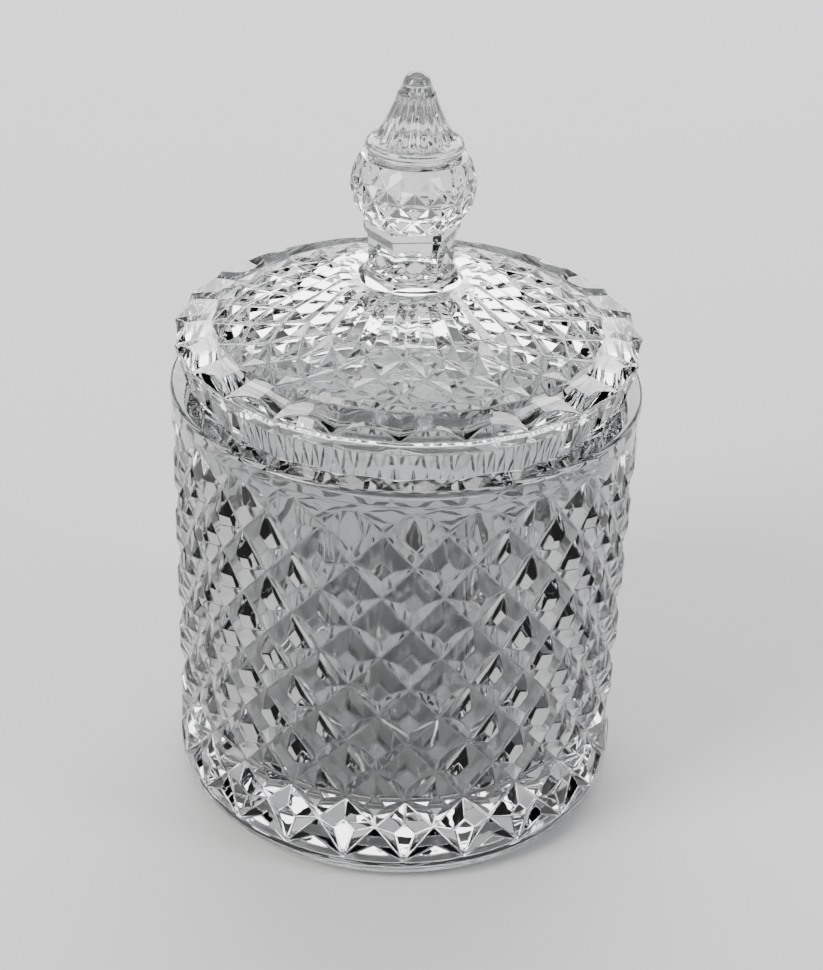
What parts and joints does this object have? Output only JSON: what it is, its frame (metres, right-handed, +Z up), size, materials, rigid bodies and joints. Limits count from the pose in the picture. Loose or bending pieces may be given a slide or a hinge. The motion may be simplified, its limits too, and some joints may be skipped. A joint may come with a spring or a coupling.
{
  "type": "powder jar",
  "caption": "Cylindrical cut-crystal style glass jar with a diamond-point lattice and a lift-off domed lid with a faceted finial.",
  "frame": {"origin": "centre of the jar's foot, on the surface it stands on", "axes": "+Z up along the jar's axis, -Y towards the viewer"},
  "size_m": [0.1046, 0.1046, 0.17],
  "materials": {
    "jar_glass": "clear pressed crystal glass, fire-polished",
    "lid_glass": "clear pressed crystal glass, fire-polished"
  },
  "bodies": {
    "jar": {"jar_body": "jar_glass"},
    "lid": {"lid": "lid_glass"}
  },
  "joints": [
    {"name": "lid_lift", "type": "slide", "parent": "jar", "child": "lid", "axis": [0, 0, 1], "range_m": [0, 0.08]}
  ]
}
